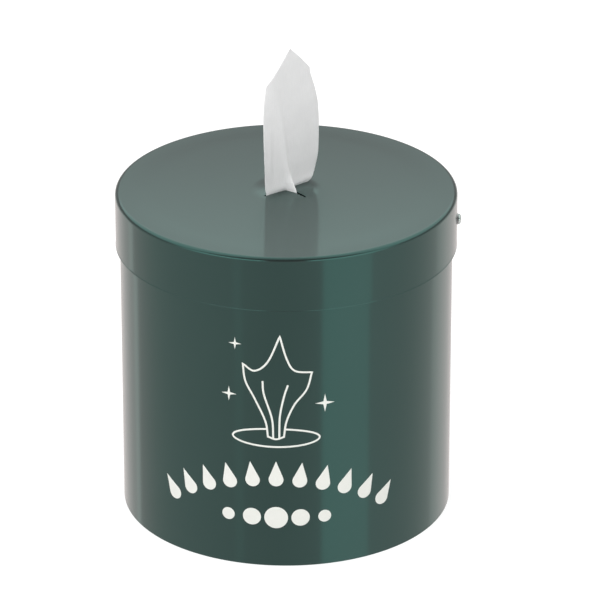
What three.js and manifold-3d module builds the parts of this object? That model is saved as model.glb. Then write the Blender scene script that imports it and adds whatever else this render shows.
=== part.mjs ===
// A wall-mounted dispenser for a roll of wipes, in millimetres, +Z up.
// A round sheet-steel can stands on a pressed-in base and hangs on the wall by a hat-shaped bracket riveted to
// its back. A deep round cap lifts off the can for a new roll. A screw half way down the cap's skirt locks it.
// The wipe comes up from the middle of the roll and out through a cross cut in the cap, which grips it.
// The origin is the middle of the underside. The front, with its screen print, faces -Y and the wall is at +Y.
import * as THREE from "three";
import { mergeVertices } from "three/addons/utils/BufferGeometryUtils.js";
import Module from "manifold-3d";

const wasm = await Module();
wasm.setup();

// Driving dimensions of the can
const can_radius = 127;
const can_height = 255.4;
const can_sheet = 0.9;
const can_hem_height = 8;
const base_flange_height = 10;
const base_bend_radius = 2.5;

// Driving dimensions of the cap
const lid_overhang = 3.3;
const lid_sheet = 1.0;
const lid_skirt_height = 43.3;
const lid_edge_radius = 3;
const slit_length = 22;
const slit_width = 1.9;
const slit_middle_radius = 3.2;
const slit_first_angle = 45;
const slit_count = 4;
const crown_radius = 27;
const crown_height = 2.6;

// Driving dimensions of the lock screw and its nut
const screw_head_radius = 3.9;
const screw_head_height = 2.4;
const screw_shank_radius = 1.9;
const screw_recess_reach = 2.1;
const screw_recess_width = 0.9;
const screw_recess_depth = 1.4;
const washer_radius = 4.3;
const washer_thickness = 0.5;
const nut_radius = 4;
const nut_thickness = 1.4;
const nut_collar_radius = 2.9;
const thread_clearance = 0.08;

// Driving dimensions of the bracket and its rivets
const wall_standoff = 10;
const bracket_sheet = 1.5;
const bracket_web_width = 84;
const bracket_flange_width = 18;
const bracket_height = 150;
const bracket_from_base = 45;
const bracket_bend_radius = 2.5;
const keyhole_spacing = 50;
const keyhole_head_radius = 5.2;
const keyhole_slot_radius = 2.7;
const keyhole_slot_rise = 13;
const keyhole_from_top = 36;
const rivet_head_radius = 4;
const rivet_head_height = 1.4;
const rivet_shank_radius = 2;
const rivet_tail_radius = 3.1;
const rivet_tail_height = 1.5;
const rivet_from_end = 22;

// Driving dimensions of the roll and of the wipe
const roll_radius = 98;
const roll_height = 203;
const roll_core_radius = 19;
const roll_turn_pitch = 13;
const roll_turn_rise = 0.9;
const wipe_reach = 112.6;
const wipe_half_thickness = 0.45;
const wipe_left_reach = 22.5;
const wipe_right_reach = 31.5;
const wipe_perforation_depth = 17;
const strand_radius = 9;
const strand_start_depth = 62;

// Driving dimensions of the screen print, measured along the can's front and up it
const ink_thickness = 0.3;
const ink_gap = 0.25;
const ink_line_width = 1.3;
const arch_radius = 154;
const arch_top_height = 78;
const arch_half_angle = 34.5;
const arch_drops = 11;
const drop_length = 21;
const drop_radius = 5.6;
const row_height = 41;
const row_pitch = 18.5;
const row_radii = [5, 7, 9, 7, 5];
const picture_height = 146;
const picture_size = 100;
const opening_reach = 33;
const opening_rise = 7.5;
const opening_drop = 38;
const sparkle_reaches = [7.5, 6, 5];

// Clearances between pieces
const seat_gap = 0.3;
const hole_clearance = 0.2;
const washer_gap = 0.1;

// Fineness of the round shapes
const body_steps = 84;
const roll_steps = 60;
const bend_steps = 3;
const crown_steps = 5;
const small_steps = 20;

// Heights and radii that follow from the sizes above
const lid_top = can_height + seat_gap + lid_sheet;
const lid_radius = can_radius + lid_overhang;
const lid_inner_radius = lid_radius - lid_sheet;
const skirt_bottom = lid_top - lid_skirt_height;
const screw_height = lid_top - lid_skirt_height / 2;
const wall_plane = can_radius + wall_standoff;
const roll_bottom = can_sheet + seat_gap;
const roll_top = roll_bottom + roll_height;

const degrees = (angle) => (angle * Math.PI) / 180;
const green_paint = new THREE.MeshStandardMaterial({ color: 0x1f4a43, roughness: 0.28, metalness: 0.35 });
const green_screw = new THREE.MeshStandardMaterial({ color: 0x6f8a84, roughness: 0.35, metalness: 0.8 });
const zinc = new THREE.MeshStandardMaterial({ color: 0xb9bcbc, roughness: 0.4, metalness: 0.9 });
const white_wipe = new THREE.MeshStandardMaterial({ color: 0xdedede, roughness: 0.95, metalness: 0 });
const white_ink = new THREE.MeshStandardMaterial({ color: 0xeff0ea, roughness: 0.5, metalness: 0 });

// Solids and meshes

function solid_of(geometry) {
  const bare = geometry.index ? geometry.toNonIndexed() : geometry.clone();
  bare.deleteAttribute("normal");
  bare.deleteAttribute("uv");
  const merged = mergeVertices(bare, 1e-4);
  return new wasm.Manifold(
    new wasm.Mesh({
      numProp: 3,
      vertProperties: merged.attributes.position.array,
      triVerts: new Uint32Array(merged.index.array),
    }),
  );
}

function geometry_of(solid) {
  const mesh = solid.getMesh();
  const geometry = new THREE.BufferGeometry();
  geometry.setAttribute("position", new THREE.BufferAttribute(mesh.vertProperties, mesh.numProp));
  geometry.setIndex(new THREE.BufferAttribute(mesh.triVerts, 1));
  return geometry;
}

function cut(geometry, ...tools) {
  return geometry_of(tools.reduce((left, tool) => left.subtract(solid_of(tool)), solid_of(geometry)));
}

function fuse(...geometries) {
  return geometry_of(geometries.map(solid_of).reduce((sum, next) => sum.add(next)));
}

function closed_mesh(points, faces) {
  const geometry = new THREE.BufferGeometry();
  geometry.setAttribute("position", new THREE.Float32BufferAttribute(points.flat(), 3));
  geometry.setIndex(faces.flat());
  return geometry;
}

function piece(name, geometry, material) {
  const mesh = new THREE.Mesh(geometry, material);
  mesh.name = name;
  return mesh;
}

// A profile of [radius, height] points turned about the vertical axis
function turned(profile, steps = body_steps) {
  const points = profile.map(([radius, height]) => new THREE.Vector2(radius, height));
  return new THREE.LatheGeometry(points, steps).rotateX(Math.PI / 2);
}

// Points of an arc in a profile, from one angle to the other, in degrees
function arc(centre_radius, centre_height, radius, from, to, steps = bend_steps) {
  return Array.from({ length: steps + 1 }, (_, k) => {
    const angle = degrees(from + ((to - from) * k) / steps);
    return [centre_radius + radius * Math.cos(angle), centre_height + radius * Math.sin(angle)];
  });
}

// A rod along Z between two heights
function rod(radius, from, to, steps = small_steps) {
  return new THREE.CylinderGeometry(radius, radius, to - from, steps)
    .rotateX(Math.PI / 2)
    .translate(0, 0, (from + to) / 2);
}

// Lays a shape made along Z on a radius of the can: its Z then points out at that angle, at that height
function laid_radially(geometry, angle, height) {
  return geometry.rotateY(Math.PI / 2).rotateZ(angle).translate(0, 0, height);
}

// The can: a rolled wall with its top edge hemmed inwards, and a flanged base pressed in flush

function rivet_places() {
  const middle = bracket_web_width / 2 + bracket_flange_width / 2;
  const swing = Math.asin(middle / can_radius);
  const heights = [bracket_from_base + rivet_from_end, bracket_from_base + bracket_height - rivet_from_end];
  return heights.flatMap((height) =>
    [-1, 1].map((side) => ({ angle: Math.PI / 2 + side * swing, height })),
  );
}

function rivet_holes() {
  return rivet_places().map(({ angle, height }) =>
    laid_radially(
      rod(rivet_shank_radius + hole_clearance, can_radius - 8, can_radius + 8),
      angle,
      height,
    ),
  );
}

function can_wall() {
  const inner = can_radius - can_sheet;
  const hem = inner - can_sheet;
  const profile = [
    [inner, 0],
    [can_radius, 0],
    ...arc(inner, can_height - can_sheet, can_sheet, 0, 180, 4),
    [hem, can_height - can_hem_height],
    [inner, can_height - can_hem_height],
    [inner, 0],
  ];
  return piece("can_wall", cut(turned(profile), ...rivet_holes()), green_paint);
}

function can_base() {
  const outer = can_radius - can_sheet - seat_gap;
  const bend = outer - base_bend_radius;
  const profile = [
    [0, 0],
    ...arc(bend, base_bend_radius, base_bend_radius, -90, 0),
    [outer, base_flange_height],
    [outer - can_sheet, base_flange_height],
    ...arc(bend, base_bend_radius, base_bend_radius - can_sheet, 0, -90),
    [0, can_sheet],
  ];
  return piece("can_base", turned(profile), green_paint);
}

// The cap: one spun piece, whose middle is raised into a low crown and cut crosswise into four springy tabs

function crown_rise(radius) {
  const share = Math.max(0, 1 - (radius / crown_radius) ** 2);
  return crown_height * share ** 2;
}

function slit_cross() {
  const outline = [];
  const half = slit_width / 2;
  for (let k = 0; k < slit_count; k += 1) {
    const angle = degrees(slit_first_angle + (k * 360) / slit_count);
    const along = new THREE.Vector2(Math.cos(angle), Math.sin(angle));
    const across = new THREE.Vector2(-along.y, along.x);
    const place = (u, v) => along.clone().multiplyScalar(u).addScaledVector(across, v);
    const tip = arc(slit_length - half, 0, half, -90, 90, 6);
    outline.push(place(slit_middle_radius, -half), ...tip.map(([u, v]) => place(u, v)));
    outline.push(place(slit_middle_radius, half));
    const between = angle + Math.PI / slit_count;
    outline.push(new THREE.Vector2(Math.cos(between), Math.sin(between)).multiplyScalar(slit_middle_radius));
  }
  const depth = lid_sheet + crown_height + 4;
  const geometry = new THREE.ExtrudeGeometry(new THREE.Shape(outline), { depth, bevelEnabled: false });
  return geometry.translate(0, 0, lid_top - lid_sheet - 2);
}

function lid() {
  const crown = Array.from({ length: crown_steps + 1 }, (_, k) => (crown_radius * k) / crown_steps);
  const over = crown.map((radius) => [radius, lid_top + crown_rise(radius)]);
  const under = crown.map((radius) => [radius, lid_top + crown_rise(radius) - lid_sheet]);
  const bend = lid_radius - lid_edge_radius;
  const bend_height = lid_top - lid_edge_radius;
  const profile = [
    ...under,
    ...arc(bend, bend_height, lid_edge_radius - lid_sheet, 90, 0),
    [lid_inner_radius, skirt_bottom],
    [lid_radius, skirt_bottom],
    ...arc(bend, bend_height, lid_edge_radius, 0, 90),
    ...over.reverse(),
  ];
  const screw_hole = laid_radially(
    rod(nut_collar_radius + hole_clearance, lid_radius - 6, lid_radius + 6),
    0,
    screw_height,
  );
  return piece("lid", cut(turned(profile), slit_cross(), screw_hole), green_paint);
}

// The lock: a round-headed screw in a clinched nut, whose tip bears on the can wall

function lock_nut() {
  const face = Math.sqrt(lid_inner_radius ** 2 - nut_radius ** 2) - hole_clearance;
  const bore = screw_shank_radius + thread_clearance;
  const profile = [
    [bore, face - nut_thickness],
    [nut_radius, face - nut_thickness],
    [nut_radius, face],
    [nut_collar_radius, face],
    [nut_collar_radius, lid_radius - hole_clearance],
    [bore, lid_radius - hole_clearance],
    [bore, face - nut_thickness],
  ];
  return piece("lock_nut", laid_radially(turned(profile, small_steps), 0, screw_height), zinc);
}

function lock_washer() {
  const face = lid_radius + washer_gap;
  const bore = screw_shank_radius + hole_clearance;
  const profile = [
    [bore, face],
    [washer_radius, face],
    [washer_radius, face + washer_thickness],
    [bore, face + washer_thickness],
    [bore, face],
  ];
  return piece("lock_washer", laid_radially(turned(profile, small_steps), 0, screw_height), zinc);
}

function lock_screw() {
  const seat = lid_radius + washer_thickness + 2 * washer_gap;
  const dome_radius = (screw_head_radius ** 2 + screw_head_height ** 2) / (2 * screw_head_height);
  const dome_centre = seat + screw_head_height - dome_radius;
  const rim = (Math.asin((seat - dome_centre) / dome_radius) * 180) / Math.PI;
  const dome = arc(0, dome_centre, dome_radius, rim, 90, 7);
  dome[dome.length - 1][0] = 0;
  const profile = [
    [0, can_radius + seat_gap],
    [screw_shank_radius, can_radius + seat_gap],
    [screw_shank_radius, seat],
    ...dome,
  ];
  const top = seat + screw_head_height;
  const bar = () => new THREE.BoxGeometry(2 * screw_recess_reach, screw_recess_width, 2 * screw_recess_depth);
  const recess = fuse(bar(), bar().rotateZ(Math.PI / 2)).translate(0, 0, top);
  const headed = cut(turned(profile, small_steps), recess);
  return piece("lock_screw", laid_radially(headed, 0, screw_height), green_screw);
}

// The bracket: a hat section bent from one strip, riveted to the can's back, with two keyholes in its web

// Rounds the corners of a line of points, except the slight ones of a sampled curve
function with_bends(points, radius) {
  return points.flatMap((corner, k) => {
    if (k === 0 || k === points.length - 1) return [corner];
    const before = points[k - 1].clone().sub(corner).normalize();
    const after = points[k + 1].clone().sub(corner).normalize();
    const opening = Math.acos(THREE.MathUtils.clamp(before.dot(after), -1, 1));
    if (opening > degrees(165)) return [corner];
    const start = radius / Math.tan(opening / 2);
    const middle = before.clone().add(after).normalize().multiplyScalar(radius / Math.sin(opening / 2));
    const centre = corner.clone().add(middle);
    const from = corner.clone().addScaledVector(before, start).sub(centre);
    const to = corner.clone().addScaledVector(after, start).sub(centre);
    const turn = Math.atan2(from.cross(to), from.dot(to));
    return Array.from({ length: 6 }, (_, n) => from.clone().rotateAround(new THREE.Vector2(), (turn * n) / 5).add(centre));
  });
}

// The outline of a strip of sheet that follows a line of points
function strip_outline(line, thickness) {
  const sides = [[], []];
  line.forEach((point, k) => {
    const ahead = line[Math.min(k + 1, line.length - 1)];
    const behind = line[Math.max(k - 1, 0)];
    const along = ahead.clone().sub(behind).normalize();
    const across = new THREE.Vector2(-along.y, along.x).multiplyScalar(thickness / 2);
    sides[0].push(point.clone().add(across));
    sides[1].push(point.clone().sub(across));
  });
  return [...sides[0], ...sides[1].reverse()];
}

function keyhole(x) {
  const centre = new THREE.Vector2(x, bracket_from_base + bracket_height - keyhole_from_top);
  const shoulder = Math.asin(keyhole_slot_radius / keyhole_head_radius);
  const head = Array.from({ length: 17 }, (_, k) => {
    const angle = Math.PI / 2 + shoulder + ((2 * Math.PI - 2 * shoulder) * k) / 16;
    return new THREE.Vector2(Math.cos(angle), Math.sin(angle)).multiplyScalar(keyhole_head_radius);
  });
  const slot = arc(0, keyhole_slot_rise, keyhole_slot_radius, 0, 180, 8).map(([u, v]) => new THREE.Vector2(u, v));
  const outline = [...head, ...slot].map((point) => point.add(centre));
  const depth = 4 * bracket_sheet;
  const geometry = new THREE.ExtrudeGeometry(new THREE.Shape(outline), { depth, bevelEnabled: false });
  return geometry.rotateX(Math.PI / 2).translate(0, wall_plane + depth / 2, 0);
}

function mounting_bracket() {
  const flange_radius = can_radius + seat_gap + bracket_sheet / 2;
  const side = (bracket_web_width - bracket_sheet) / 2;
  const flange_steps = 5;
  const flange_from = Math.asin((side + bracket_flange_width) / flange_radius);
  const flange_to = Math.asin(side / flange_radius);
  const flange = Array.from({ length: flange_steps + 1 }, (_, k) => {
    const angle = flange_from + ((flange_to - flange_from) * k) / flange_steps;
    return new THREE.Vector2(Math.sin(angle), Math.cos(angle)).multiplyScalar(flange_radius);
  });
  const web = wall_plane - bracket_sheet / 2;
  const right = [...flange, new THREE.Vector2(side, web)];
  const left = right.map((point) => new THREE.Vector2(-point.x, point.y)).reverse();
  const line = with_bends([...right, ...left], bracket_bend_radius);
  const outline = new THREE.Shape(strip_outline(line, bracket_sheet));
  const strip = new THREE.ExtrudeGeometry(outline, { depth: bracket_height, bevelEnabled: false });
  strip.translate(0, 0, bracket_from_base);
  const keyholes = [-1, 1].map((sign) => keyhole((sign * keyhole_spacing) / 2));
  return piece("mounting_bracket", cut(strip, ...keyholes, ...rivet_holes()), green_paint);
}

function bracket_rivets() {
  const head = can_radius + seat_gap + bracket_sheet + hole_clearance;
  const tail = can_radius - can_sheet - hole_clearance;
  const profile = [
    [0, tail - rivet_tail_height],
    [rivet_tail_radius * 0.8, tail - rivet_tail_height],
    [rivet_tail_radius, tail - rivet_tail_height / 2],
    [rivet_tail_radius, tail],
    [rivet_shank_radius, tail],
    [rivet_shank_radius, head],
    [rivet_head_radius, head],
    [rivet_head_radius * 0.86, head + rivet_head_height * 0.6],
    [rivet_head_radius * 0.5, head + rivet_head_height],
    [0, head + rivet_head_height],
  ];
  return rivet_places().map(({ angle, height }, k) =>
    piece(`bracket_rivet_${k + 1}`, laid_radially(turned(profile, small_steps), angle, height), zinc),
  );
}

// The roll: wound around an open core, its turns showing as rings on the upper end

function wipe_roll() {
  const turns = Math.floor((roll_radius - roll_core_radius) / roll_turn_pitch);
  const rings = Array.from({ length: turns }, (_, k) => roll_core_radius + roll_turn_pitch * (k + 0.5));
  const top = rings.flatMap((radius) => [
    [radius, roll_top - roll_turn_rise],
    [radius + roll_turn_pitch / 2, roll_top],
  ]);
  const profile = [
    [roll_core_radius, roll_bottom],
    [roll_radius, roll_bottom],
    [roll_radius, roll_top - 2 * roll_turn_rise],
    ...top.reverse().filter(([radius]) => radius < roll_radius - 1),
    [roll_core_radius, roll_top - roll_turn_rise],
    [roll_core_radius, roll_bottom],
  ];
  return piece("wipe_roll", turned(profile, roll_steps), white_wipe);
}

// The wipe: a sheet gathered into four pleats, one for each slit, that open out above the cap

// A solid through a stack of level sections, each with the same number of points and seen whole from its middle
function lofted(sections) {
  const count = sections[0].length;
  const points = sections.flat();
  const faces = [];
  for (let level = 0; level + 1 < sections.length; level += 1) {
    for (let k = 0; k < count; k += 1) {
      const a = level * count + k;
      const b = level * count + ((k + 1) % count);
      faces.push([a, b, b + count], [a, b + count, a + count]);
    }
  }
  [0, sections.length - 1].forEach((level, end) => {
    const middle = points.length;
    points.push([0, 1, 2].map((axis) => sections[level].reduce((sum, point) => sum + point[axis], 0) / count));
    for (let k = 0; k < count; k += 1) {
      const rim = [level * count + k, level * count + ((k + 1) % count)];
      faces.push([middle, ...(end ? rim : rim.reverse())]);
    }
  });
  return closed_mesh(points, faces);
}

// A level section of the gathered sheet: one thin arm for each pleat, given as its angle, reach and bow
function pleated_section(centre, height, arms, half_thickness) {
  const outline = [];
  arms.forEach(({ angle, reach, bow = 0 }, k) => {
    const along = new THREE.Vector2(Math.cos(angle), Math.sin(angle));
    const across = new THREE.Vector2(-along.y, along.x);
    const shares = [0.35, 0.7, 1];
    const place = (share, side) =>
      along
        .clone()
        .multiplyScalar(mixed(2 * half_thickness, reach, share))
        .addScaledVector(across, side * half_thickness + bow * share * share)
        .add(centre);
    shares.forEach((share) => outline.push(place(share, -1)));
    [...shares].reverse().forEach((share) => outline.push(place(share, 1)));
    const next = arms[(k + 1) % arms.length].angle + (k + 1 === arms.length ? 2 * Math.PI : 0);
    const between = (angle + next) / 2;
    const crotch = half_thickness / Math.sin((next - angle) / 2);
    outline.push(new THREE.Vector2(Math.cos(between), Math.sin(between)).multiplyScalar(crotch).add(centre));
  });
  return outline.map((point) => [point.x, point.y, height]);
}

const smooth = (from, to, value) => THREE.MathUtils.smoothstep(value, from, to);
const mixed = (a, b, share) => a + (b - a) * share;

// The pleats at a height above the cap: back right, back left, front left and front right
function wipe_arms(rise) {
  const below = smooth(-wipe_perforation_depth, -2, rise);
  const opened = smooth(6, 30, rise);
  const from_tip = wipe_reach - rise;
  const twist = degrees(mixed(0, -18, smooth(6, 40, rise)));
  const flare = smooth(5, 22, rise);
  const right_reach = mixed(strand_radius, mixed(slit_length - 1.4, wipe_right_reach, flare), below);
  const left_reach = mixed(strand_radius, mixed(slit_length - 1, wipe_left_reach, flare), below);
  const pleat = mixed(mixed(strand_radius, 14, below), 3 * wipe_half_thickness, smooth(8, 62, rise));
  const back_pleat = mixed(mixed(strand_radius, 10, below), 3 * wipe_half_thickness, smooth(8, 44, rise));
  const cross = degrees(slit_first_angle);
  return [
    { angle: cross + twist, reach: Math.min(right_reach, 1.5 + from_tip * 1.2), bow: 2.2 * opened },
    { angle: cross + Math.PI / 2 + twist / 2, reach: back_pleat },
    { angle: cross + Math.PI + twist, reach: Math.min(left_reach, 1.5 + from_tip * 0.72), bow: 2.2 * opened },
    { angle: cross + 1.5 * Math.PI + twist / 2, reach: pleat },
  ];
}

function pulled_wipe() {
  const below = [-wipe_perforation_depth, -11, -6, -2, 4];
  const above = [8, 14, 22, 32, 44, 56, 68, 78, 86, 93, 99, 104, 108, 111, wipe_reach];
  const sections = [...below, ...above].map((rise) => {
    const lean = smooth(10, 60, rise);
    const centre = new THREE.Vector2(1.6 * lean, 1.2 * lean);
    return pleated_section(centre, lid_top + rise, wipe_arms(rise), wipe_half_thickness);
  });
  return piece("pulled_wipe", lofted(sections), white_wipe);
}

function next_wipe() {
  const top = lid_top - wipe_perforation_depth - seat_gap;
  const bottom = roll_top - strand_start_depth;
  const steps = 10;
  const end_reach = 3;
  const start = -(roll_core_radius - end_reach - 2 * wipe_half_thickness);
  const sections = Array.from({ length: steps + 1 }, (_, k) => {
    const share = k / steps;
    const reach = mixed(end_reach, strand_radius, smooth(0, 0.7, share));
    const centre = new THREE.Vector2(mixed(start, 0, smooth(0, 0.75, share)), 0);
    const turn = degrees(slit_first_angle + 70 * (1 - smooth(0, 1, share)));
    const arms = [0, 1, 2, 3].map((n) => ({ angle: turn + (n * Math.PI) / 2, reach }));
    return pleated_section(centre, mixed(bottom, top, share), arms, wipe_half_thickness);
  });
  return piece("next_wipe", lofted(sections), white_wipe);
}

// The screen print: thin patches and lines of ink that follow the can's front

// A point of the print, given by its length around the front, its height and its distance from the wall
function on_front(across, height, radius) {
  const angle = across / can_radius;
  return [radius * Math.sin(angle), -radius * Math.cos(angle), height];
}

const ink_inside = can_radius + ink_gap;
const ink_outside = ink_inside + ink_thickness;

// A filled patch whose outline can be seen whole from its middle
function ink_patch(outline) {
  const middle = outline.reduce((sum, point) => sum.add(point), new THREE.Vector2()).divideScalar(outline.length);
  const count = outline.length;
  const points = [];
  const faces = [];
  [ink_inside, ink_outside].forEach((radius) => {
    points.push(on_front(middle.x, middle.y, radius));
    [0.5, 1].forEach((share) =>
      outline.forEach((point) => {
        const at = middle.clone().lerp(point, share);
        points.push(on_front(at.x, at.y, radius));
      }),
    );
  });
  const side = 1 + 2 * count;
  for (let k = 0; k < count; k += 1) {
    const next = (k + 1) % count;
    const [a, b, c, d] = [1 + k, 1 + next, 1 + count + k, 1 + count + next];
    faces.push([side, side + a, side + b], [side + a, side + c, side + d], [side + a, side + d, side + b]);
    faces.push([0, b, a], [a, d, c], [a, b, d]);
    faces.push([c, d, side + d], [c, side + d, side + c]);
  }
  return closed_mesh(points, faces);
}

// A line of ink through points, either open with square ends or closed on itself
function ink_line(line, closed = false) {
  const count = line.length;
  const half = ink_line_width / 2;
  const points = [];
  const faces = [];
  line.forEach((point, k) => {
    const ahead = closed ? line[(k + 1) % count] : line[Math.min(k + 1, count - 1)];
    const behind = closed ? line[(k + count - 1) % count] : line[Math.max(k - 1, 0)];
    const out = ahead.clone().sub(point);
    const back = point.clone().sub(behind);
    const along = out.clone().normalize().add(back.clone().normalize()).normalize();
    const straight = out.length() && back.length() ? along.dot(out.clone().normalize()) : 1;
    const across = new THREE.Vector2(-along.y, along.x).multiplyScalar(half / Math.max(straight, 0.6));
    [1, -1].forEach((sign) =>
      [ink_inside, ink_outside].forEach((radius) => {
        const at = point.clone().addScaledVector(across, sign);
        points.push(on_front(at.x, at.y, radius));
      }),
    );
  });
  const lengths = closed ? count : count - 1;
  for (let k = 0; k < lengths; k += 1) {
    const a = 4 * k;
    const b = 4 * ((k + 1) % count);
    [[0, 1], [1, 3], [3, 2], [2, 0]].forEach(([m, n]) => {
      faces.push([a + m, a + n, b + n], [a + m, b + n, b + m]);
    });
  }
  if (!closed) {
    const last = 4 * (count - 1);
    faces.push([0, 2, 3], [0, 3, 1], [last, last + 1, last + 3], [last, last + 3, last + 2]);
  }
  return closed_mesh(points, faces);
}

// A drop's outline: a round belly below a point, turned about its middle
function drop_outline(middle, tilt) {
  const belly = drop_length / 2 - drop_radius;
  const flank = (Math.acos(drop_radius / (drop_length - drop_radius)) * 180) / Math.PI;
  const round = arc(0, -belly, drop_radius, 90 - flank, -270 + flank, 14);
  const outline = [[0, drop_length / 2], ...round].map(([u, v]) => new THREE.Vector2(u, v));
  return outline.reverse().map((point) => point.rotateAround(new THREE.Vector2(), tilt).add(middle));
}

function disc_outline(middle, radius) {
  return arc(middle.x, middle.y, radius, 0, 360, 18).slice(1).map(([u, v]) => new THREE.Vector2(u, v));
}

// A four-pointed sparkle's outline
function sparkle_outline(middle, reach) {
  return Array.from({ length: 8 }, (_, k) => {
    const length = k % 2 ? reach * 0.24 : reach;
    const angle = (k * Math.PI) / 4;
    return new THREE.Vector2(Math.cos(angle), Math.sin(angle)).multiplyScalar(length).add(middle);
  });
}

function print_arch() {
  return Array.from({ length: arch_drops }, (_, k) => {
    const tilt = degrees(arch_half_angle * (1 - (2 * k) / (arch_drops - 1)));
    const middle = new THREE.Vector2(
      -arch_radius * Math.sin(tilt),
      arch_top_height - arch_radius * (1 - Math.cos(tilt)),
    );
    return piece(`print_drop_${k + 1}`, ink_patch(drop_outline(middle, tilt)), white_ink);
  });
}

function print_row() {
  return row_radii.map((radius, k) => {
    const middle = new THREE.Vector2((k - (row_radii.length - 1) / 2) * row_pitch, row_height);
    return piece(`print_disc_${k + 1}`, ink_patch(disc_outline(middle, radius)), white_ink);
  });
}

// A place in the picture, given from its middle in hundredths of its size
function in_picture(u, v) {
  return new THREE.Vector2(u, v).multiplyScalar(picture_size / 100).add(new THREE.Vector2(0, picture_height));
}

// A smooth line through places in the picture
function drawn(points, steps) {
  const knots = points.map(([u, v]) => in_picture(u, v)).map(({ x, y }) => new THREE.Vector3(x, y, 0));
  const curve = new THREE.CatmullRomCurve3(knots, false, "centripetal");
  return curve.getPoints(steps).map((point) => new THREE.Vector2(point.x, point.y));
}

// The picture: a sheet standing up out of a round opening, with three sparkles
function print_picture() {
  const edges = [
    [[6, -37], [0, -39], [-6, -37]],
    [[-6, -37], [-8, -24], [-16, -6], [-23, 8], [-25, 22]],
    [[-25, 22], [-16, 17], [-6, 25], [3, 46]],
    [[3, 46], [8, 28], [14, 18], [27, 16]],
    [[27, 16], [23, 2], [14, -10], [8, -24], [6, -37]],
  ];
  const outline = edges.flatMap((edge) => drawn(edge, 12).slice(1));
  const folds = [
    [[-2, -38.8], [-3, -22], [-9, -2], [-10, 9]],
    [[2.5, -38.6], [3, -20], [6, -4], [9, 6]],
  ].map((points) => ink_line(drawn(points, 10)));
  const opening = Array.from({ length: 41 }, (_, k) => {
    const angle = degrees(101 + (338 * k) / 40);
    const around = new THREE.Vector2(opening_reach * Math.cos(angle), opening_rise * Math.sin(angle));
    return around.add(new THREE.Vector2(0, picture_height - opening_drop));
  });
  const sparkles = [[37, -10], [-36, -4], [-31, 38]].map(([u, v], k) =>
    ink_patch(sparkle_outline(in_picture(u, v), sparkle_reaches[k])),
  );
  return [
    piece("print_sheet", fuse(ink_line(outline, true), ...folds, ink_line(opening)), white_ink),
    ...sparkles.map((patch, k) => piece(`print_sparkle_${k + 1}`, patch, white_ink)),
  ];
}

const dispenser = new THREE.Group();
dispenser.name = "wipe_dispenser";
dispenser.add(
  can_wall(),
  can_base(),
  lid(),
  lock_nut(),
  lock_washer(),
  lock_screw(),
  mounting_bracket(),
  ...bracket_rivets(),
  wipe_roll(),
  pulled_wipe(),
  next_wipe(),
  ...print_arch(),
  ...print_row(),
  ...print_picture(),
);

export default dispenser;
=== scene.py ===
import bmesh
import bpy
import numpy as np
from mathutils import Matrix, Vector


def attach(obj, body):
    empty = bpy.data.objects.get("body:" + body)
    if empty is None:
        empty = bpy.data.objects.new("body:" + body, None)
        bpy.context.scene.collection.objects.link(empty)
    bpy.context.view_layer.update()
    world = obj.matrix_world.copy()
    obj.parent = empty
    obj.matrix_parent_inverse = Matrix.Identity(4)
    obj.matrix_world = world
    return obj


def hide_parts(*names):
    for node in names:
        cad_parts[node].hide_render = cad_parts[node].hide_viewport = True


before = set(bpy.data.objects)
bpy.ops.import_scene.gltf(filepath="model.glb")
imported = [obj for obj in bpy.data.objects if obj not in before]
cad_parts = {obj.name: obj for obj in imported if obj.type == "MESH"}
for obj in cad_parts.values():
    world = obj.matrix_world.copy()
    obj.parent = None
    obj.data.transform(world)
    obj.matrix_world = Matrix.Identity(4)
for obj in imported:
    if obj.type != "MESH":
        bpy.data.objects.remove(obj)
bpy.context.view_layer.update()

# The studio: a pale tent with a tall softbox at the right front, and a bright front wall with a dark middle
# where the camera stands, on a long lens, a little to the right of the printed front and 23 degrees above it.
# Lengths are in millimetres throughout; surface() and the studio turn them into metres.
scene = bpy.context.scene
scene.view_settings.view_transform = "Standard"

CAP_TOP = 256.7
CAP_RADIUS = 130.3
CAMERA_SIDE = np.radians(3.6)
CAMERA_RISE = np.radians(23.34)
CAMERA_DISTANCE = 27.2 * CAP_RADIUS
FOCAL_PIXELS = 4659.0
CAP_TOP_PIXEL = (286.4, 188.7)
PICTURE_PIXELS = 600
SENSOR_WIDTH = 36

back = Vector((
    np.cos(CAMERA_RISE) * np.sin(CAMERA_SIDE),
    -np.cos(CAMERA_RISE) * np.cos(CAMERA_SIDE),
    np.sin(CAMERA_RISE),
))
right = Vector((np.cos(CAMERA_SIDE), np.sin(CAMERA_SIDE), 0))
up = back.cross(right)
cap_top = Vector((0, 0, CAP_TOP))
pixel = CAMERA_DISTANCE / FOCAL_PIXELS
middle = PICTURE_PIXELS / 2
aim = cap_top + right * (middle - CAP_TOP_PIXEL[0]) * pixel - up * (middle - CAP_TOP_PIXEL[1]) * pixel
eye = cap_top + back * CAMERA_DISTANCE
camera = bpy.data.objects.new("camera", bpy.data.cameras.new("camera"))
camera.data.sensor_width = SENSOR_WIDTH
camera.data.lens = SENSOR_WIDTH * FOCAL_PIXELS / PICTURE_PIXELS
camera.data.clip_end = 50
camera.location = eye / 1000
camera.rotation_euler = (aim - eye).to_track_quat("-Z", "Y").to_euler()
scene.collection.objects.link(camera)
scene.camera = camera


def node(tree, kind, inputs=(), **settings):
    """Adds a shader node. Inputs maps a socket's name or number to a value or to the output that feeds it."""
    made = tree.nodes.new(kind)
    for field, value in settings.items():
        setattr(made, field, value)
    for socket, value in dict(inputs).items():
        if isinstance(value, bpy.types.NodeSocket):
            tree.links.new(value, made.inputs[socket])
        else:
            made.inputs[socket].default_value = value
    return made


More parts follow.
